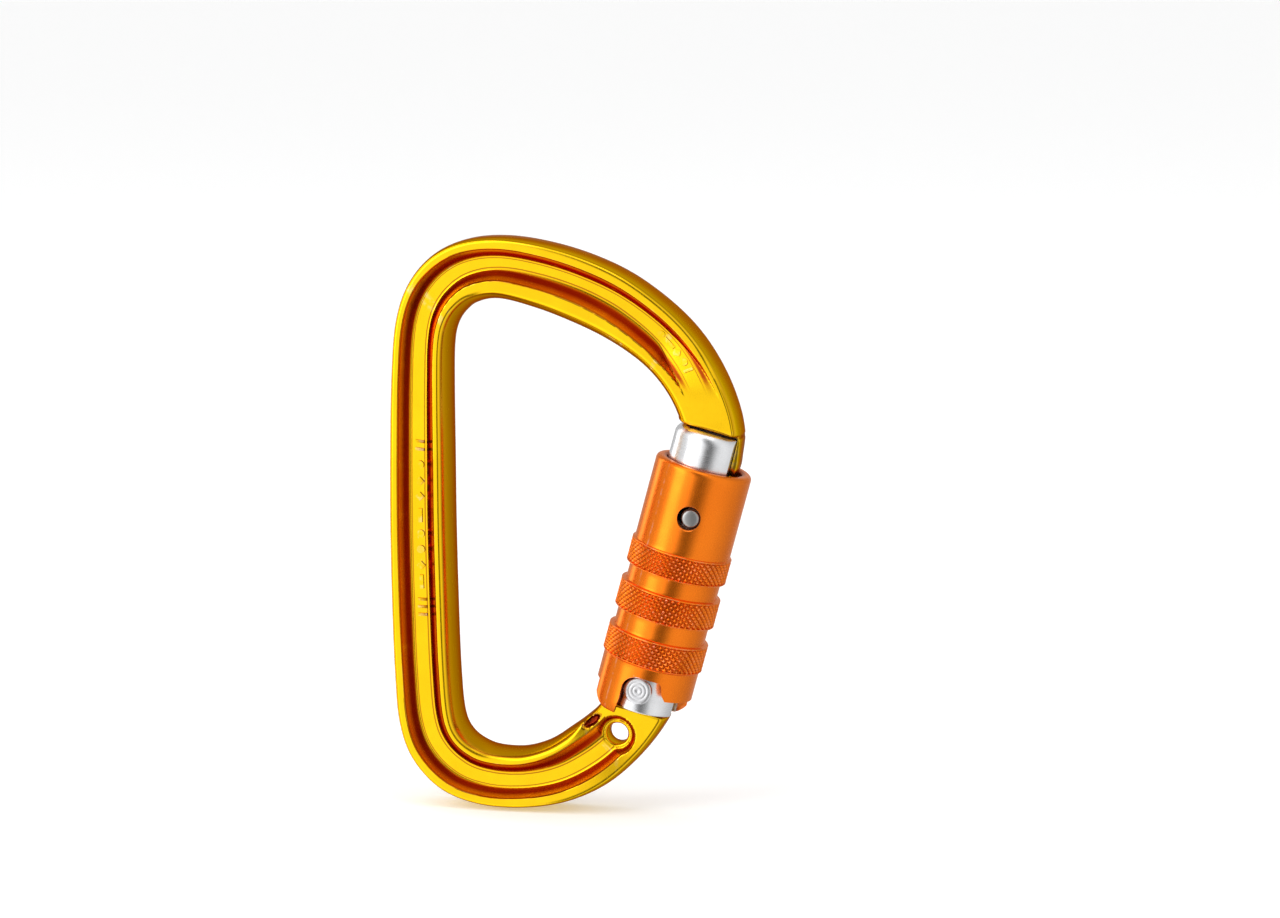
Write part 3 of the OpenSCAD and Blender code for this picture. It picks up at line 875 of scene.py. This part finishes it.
def area(name, az, el, dist, size, power, target=(0.012, 0, -0.04), size_y=None, col=(1, 1, 1)):
    li = bpy.data.lights.new(name, "AREA")
    li.shape = "RECTANGLE"
    li.size = size
    li.size_y = size_y or size
    li.energy = power
    li.color = col
    ob = bpy.data.objects.new(name, li)
    a, e = math.radians(az), math.radians(el)
    d = Vector((math.sin(a) * math.cos(e), -math.cos(a) * math.cos(e), math.sin(e)))
    ob.location = Vector(target) + d * dist
    ob.rotation_mode = "QUATERNION"
    ob.rotation_quaternion = d.to_track_quat("Z", "Y")
    ob.visible_camera = False
    bpy.context.scene.collection.objects.link(ob)
    return ob


area("key_left", -42, 22, 1.5, 0.75, 6.5, size_y=1.5)
area("key_right", 62, 18, 1.5, 0.8, 4.5, size_y=1.5).visible_glossy = False
area("top", 0, 78, 1.4, 1.1, 3)

world = bpy.data.worlds.new("studio")
world.use_nodes = True
bpy.context.scene.world = world
wn = world.node_tree
bg = wn.nodes["Background"]
tc = wn.nodes.new("ShaderNodeTexCoord")
# a dark gap behind the camera, as in a studio, softens into a pale room
sep = wn.nodes.new("ShaderNodeSeparateXYZ")
wn.links.new(tc.outputs["Generated"], sep.inputs[0])
at2 = wn.nodes.new("ShaderNodeMath"); at2.operation = "ARCTAN2"
neg = wn.nodes.new("ShaderNodeMath"); neg.operation = "MULTIPLY"; neg.inputs[1].default_value = -1
wn.links.new(sep.outputs[1], neg.inputs[0])
wn.links.new(sep.outputs[0], at2.inputs[0])
wn.links.new(neg.outputs[0], at2.inputs[1])
off = wn.nodes.new("ShaderNodeMath"); off.operation = "SUBTRACT"; off.inputs[1].default_value = math.radians(3)
wn.links.new(at2.outputs[0], off.inputs[0])
ab = wn.nodes.new("ShaderNodeMath"); ab.operation = "ABSOLUTE"
wn.links.new(off.outputs[0], ab.inputs[0])
mr = wn.nodes.new("ShaderNodeMapRange")
mr.interpolation_type = "SMOOTHSTEP"
for i, x in enumerate((math.radians(6), math.radians(16), 1.0, 1.0)):
    mr.inputs[i + 1].default_value = x
wn.links.new(ab.outputs[0], mr.inputs[0])
# the room round the table: a bright wall on the left, a paler one on the right, darker behind
room = wn.nodes.new("ShaderNodeValToRGB")
el_ = room.color_ramp.elements
stops = [(-180, 0.6), (-124, 0.5), (-117, 2.3), (-103, 2.3), (-96, 0.75), (-64, 0.75), (-54, 1.25), (-42, 1.65), (-30, 1.5), (-20, 1.3), (-11.5, 1.28), (-3, 0.24), (4, 0.11), (15, 0.13), (25, 0.45), (38, 0.95), (70, 0.9), (100, 0.7), (135, 0.5), (165, 0.55), (180, 0.6)]
while len(el_) < len(stops):
    el_.new(0.5)
for e_, (a_, v_s) in zip(el_, stops):
    e_.position = (a_ + 180) / 360
    e_.color = (v_s, v_s, v_s, 1)
turn_ = wn.nodes.new("ShaderNodeMapRange")
for i, x in enumerate((-math.pi, math.pi, 0.0, 1.0)):
    turn_.inputs[i + 1].default_value = x
wn.links.new(at2.outputs[0], turn_.inputs[0])
wn.links.new(turn_.outputs[0], room.inputs["Fac"])
both = wn.nodes.new("ShaderNodeMath"); both.operation = "MULTIPLY"
wn.links.new(mr.outputs[0], both.inputs[0])
wn.links.new(room.outputs["Color"], both.inputs[1])
lp = wn.nodes.new("ShaderNodeLightPath")
mx = wn.nodes.new("ShaderNodeMix")
mx.data_type = "FLOAT"
wn.links.new(lp.outputs["Is Camera Ray"], mx.inputs[0])
wn.links.new(both.outputs[0], mx.inputs[2])
mx.inputs[3].default_value = 1.0
wn.links.new(mx.outputs[0], bg.inputs["Strength"])
bg.inputs["Color"].default_value = (1, 1, 1, 1)

cam_data = bpy.data.cameras.new("camera")
cam_data.lens = 101.25
cam_data.sensor_width = 36.0
cam_data.clip_start = 0.01
cam_data.clip_end = 50
cam = bpy.data.objects.new("camera", cam_data)
bpy.context.scene.collection.objects.link(cam)
az, el = math.radians(12.5), math.radians(8.0)
back = Vector((math.sin(az) * math.cos(el), -math.cos(az) * math.cos(el), math.sin(el)))
cam.location = Vector((0.026, 0, -0.0283)) + back * 0.6406
cam.rotation_mode = "QUATERNION"
cam.rotation_quaternion = back.to_track_quat("Z", "Y")
bpy.context.scene.camera = cam

view = bpy.context.scene.view_settings
view.view_transform = "Standard"
